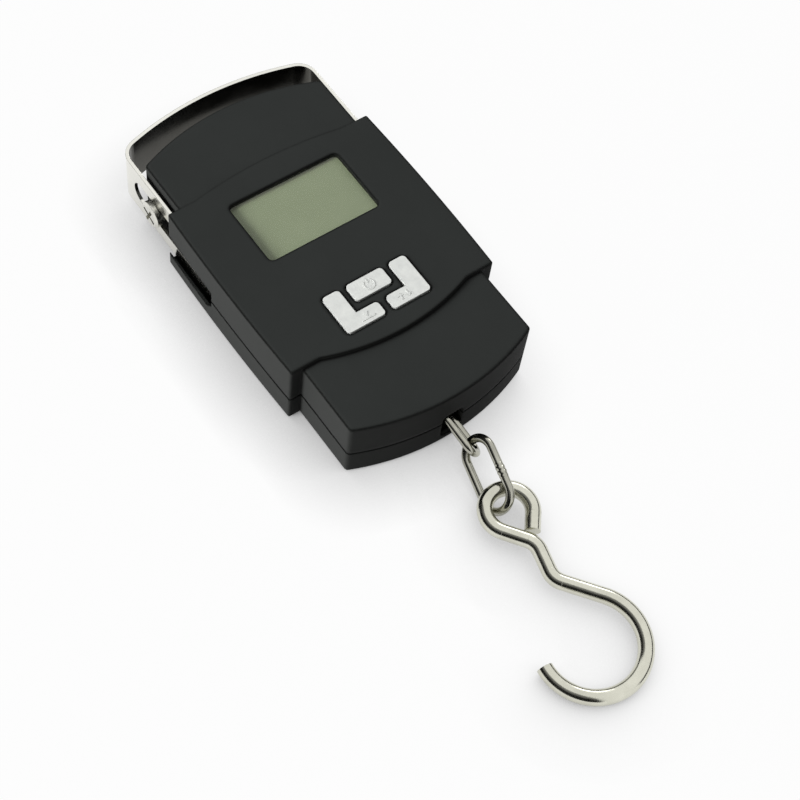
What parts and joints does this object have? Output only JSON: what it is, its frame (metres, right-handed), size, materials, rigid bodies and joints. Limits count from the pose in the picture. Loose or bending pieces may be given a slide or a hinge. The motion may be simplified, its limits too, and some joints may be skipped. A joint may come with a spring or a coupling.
{
  "type": "digital fish scale",
  "caption": "Hand-held hanging scale with a charcoal case, blank display, three silver keys, a sliding slotted steel handle and a wire hook on a short chain",
  "frame": {"origin": "middle of the case, on its flat rear face", "axes": "+X to the right of the display, +Y towards the handle, +Z out of the display"},
  "size_m": [0.0672, 0.2071, 0.0239],
  "materials": {
    "case_plastic": "charcoal moulded ABS with a fine texture",
    "lens_clear": "clear acrylic window",
    "lcd_glass": "greenish grey liquid crystal panel, switched off",
    "frame_plastic": "white moulded frame",
    "strip_rubber": "layered conductive rubber",
    "board_laminate": "green solder mask over glass laminate",
    "chip_resin": "black epoxy",
    "switch_plastic": "black switch bodies",
    "plug_nylon": "white nylon",
    "key_plastic": "silver painted keys",
    "band_steel": "polished stainless strip",
    "screw_steel": "nickel plated screws",
    "strap_steel": "zinc plated strap",
    "cell_alloy": "milled aluminium alloy",
    "gauge_film": "amber polyimide film",
    "wire_steel": "polished stainless wire",
    "hook_steel": "polished stainless wire with cut ends",
    "battery_sleeve": "plain shrink sleeve",
    "contact_plate": "nickel plated spring steel"
  },
  "bodies": {
    "case": {"front_case": "case_plastic", "rear_case": "case_plastic", "lcd_lens": "lens_clear", "lcd_panel": "lcd_glass", "lcd_frame": "frame_plastic", "contact_strip": "strip_rubber", "circuit_board": "board_laminate", "controller_chip": "chip_resin", "key_switches": "switch_plastic", "cell_plug": "plug_nylon", "handle_screws": "screw_steel", "hanger_frame": "strap_steel", "load_cell": "cell_alloy", "strain_gauges": "gauge_film", "gauge_ribbon": "gauge_film", "cell_bolt": "screw_steel", "pull_lug": "strap_steel", "battery_left": "battery_sleeve", "battery_right": "battery_sleeve", "battery_contacts": "contact_plate", "case_screws": "screw_steel", "board_screws": "screw_steel"},
    "handle": {"handle": "band_steel"},
    "key_left": {"key_left": "key_plastic"},
    "key_centre": {"key_centre": "key_plastic"},
    "key_right": {"key_right": "key_plastic"},
    "battery_door": {"battery_door": "case_plastic"},
    "ring": {"eye_ring": "wire_steel"},
    "link": {"chain_link": "wire_steel"},
    "hook": {"hook": "hook_steel"}
  },
  "joints": [
    {"name": "handle_slide", "type": "slide", "parent": "case", "child": "handle", "axis": [0, 1, 0], "range_m": [-0.006, 0.03]},
    {"name": "key_left_press", "type": "slide", "parent": "case", "child": "key_left", "axis": [0, 0, -1], "range_m": [0, 0.0004], "stiffness_N_per_m": 1500},
    {"name": "key_centre_press", "type": "slide", "parent": "case", "child": "key_centre", "axis": [0, 0, -1], "range_m": [0, 0.0004], "stiffness_N_per_m": 1500},
    {"name": "key_right_press", "type": "slide", "parent": "case", "child": "key_right", "axis": [0, 0, -1], "range_m": [0, 0.0004], "stiffness_N_per_m": 1500},
    {"name": "battery_door_hinge", "type": "hinge", "parent": "case", "child": "battery_door", "pos_m": [0, 0.04915, 0.0001], "axis": [1, 0, 0], "range_deg": [0, 70]},
    {"name": "ring_swing", "type": "hinge", "parent": "case", "child": "ring", "pos_m": [-0.00017, -0.04447, 0.01032], "axis": [1, 0, 0], "range_deg": [-4, 4]},
    {"name": "link_swing", "type": "hinge", "parent": "ring", "child": "link", "pos_m": [0.0012, -0.06746, 0.00647], "axis": [0.8157, -0.0912, -0.5713], "range_deg": [-60, 60]},
    {"name": "hook_swing", "type": "hinge", "parent": "link", "child": "hook", "pos_m": [0.00083, -0.07842, 0.00375], "axis": [0.9091, 0.055, -0.413], "range_deg": [-60, 60]}
  ]
}
